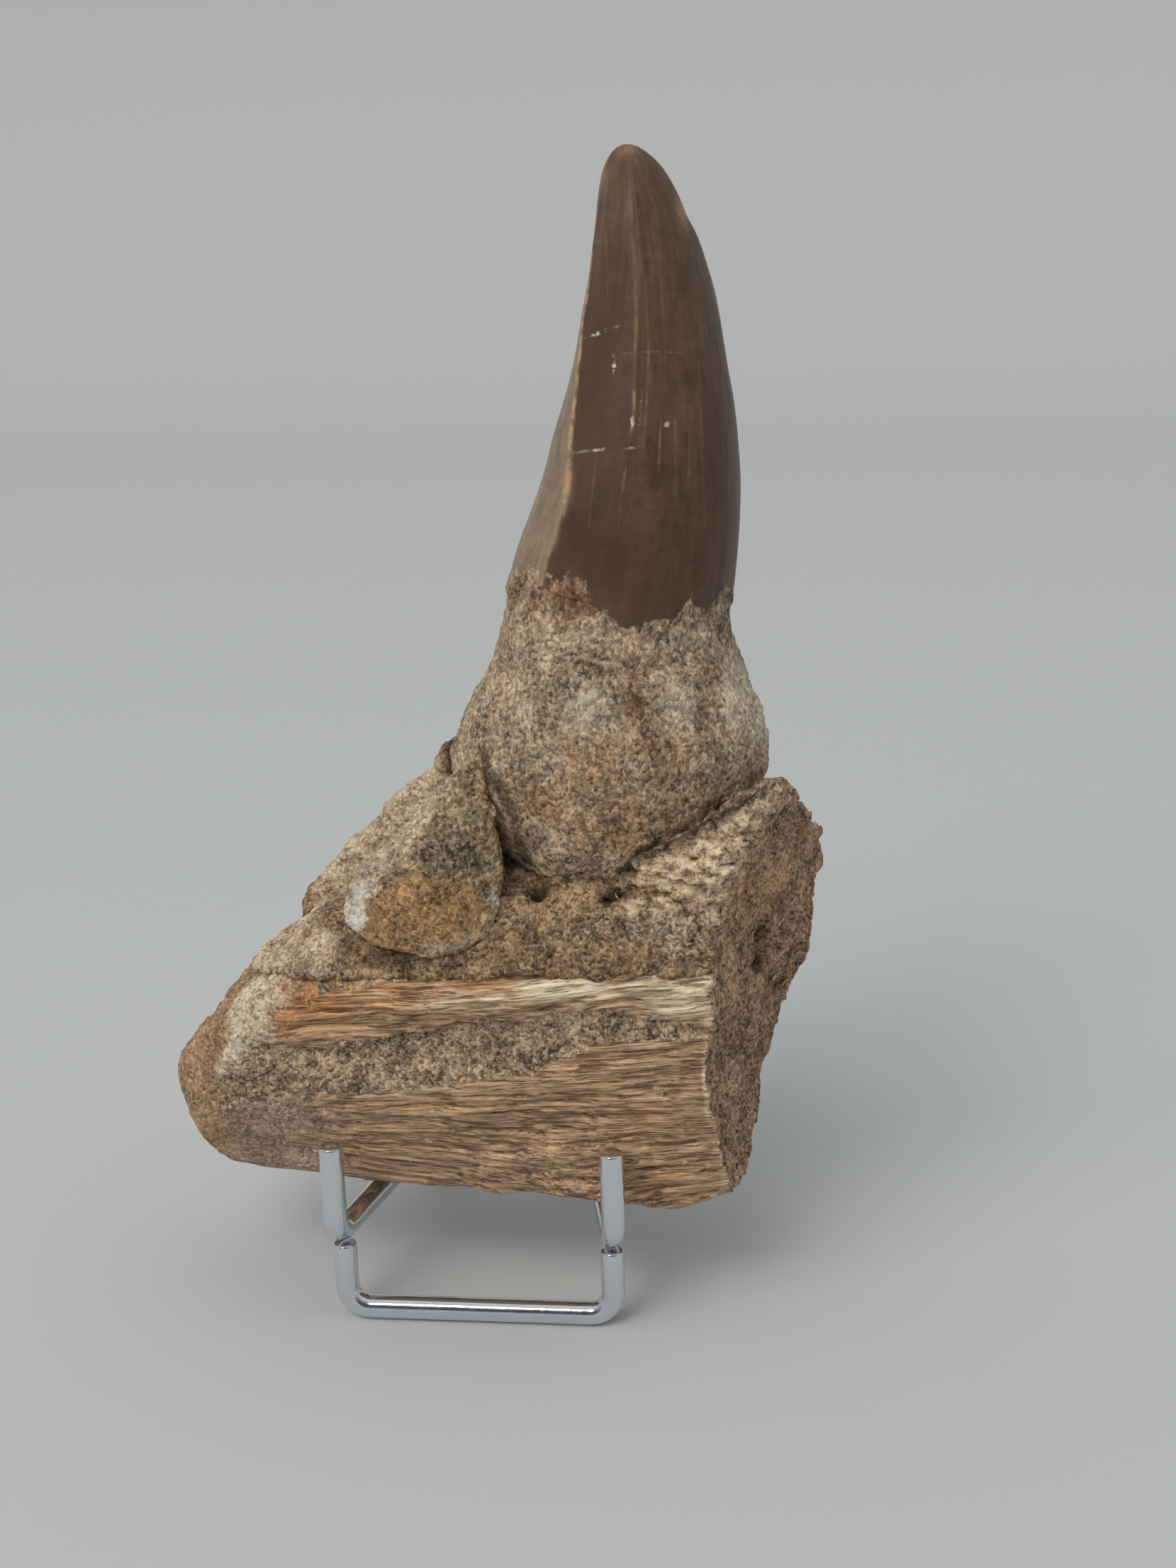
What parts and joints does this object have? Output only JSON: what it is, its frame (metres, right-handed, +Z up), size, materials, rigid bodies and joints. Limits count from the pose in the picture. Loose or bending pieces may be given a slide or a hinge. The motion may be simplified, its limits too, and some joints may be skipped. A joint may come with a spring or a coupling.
{
  "type": "fossil mosasaur tooth on a wire stand",
  "caption": "Curved fossil reptile tooth rooted in a broken piece of jaw bone with sandy matrix, held upright by a small chromed wire stand.",
  "frame": {"origin": "middle of the underside of the stand's front bar, where it rests on the table", "axes": "+Z up, +X to the right along the front bar, +Y to the back"},
  "size_m": [0.0838, 0.049, 0.1435],
  "materials": {
    "tooth": "satin brown enamel on a dull grey-tan root",
    "jaw_bone": "rough, fibrous",
    "matrix": "sandy, matt",
    "root_fragment": "sandy, matt",
    "chromed_wire": "bright chrome plate"
  },
  "bodies": {
    "root": {"tooth": "tooth", "jaw_bone": "jaw_bone", "matrix": "matrix", "root_fragment": "root_fragment", "cradle_wire": "chromed_wire", "front_foot": "chromed_wire", "rear_foot": "chromed_wire"}
  },
  "joints": []
}
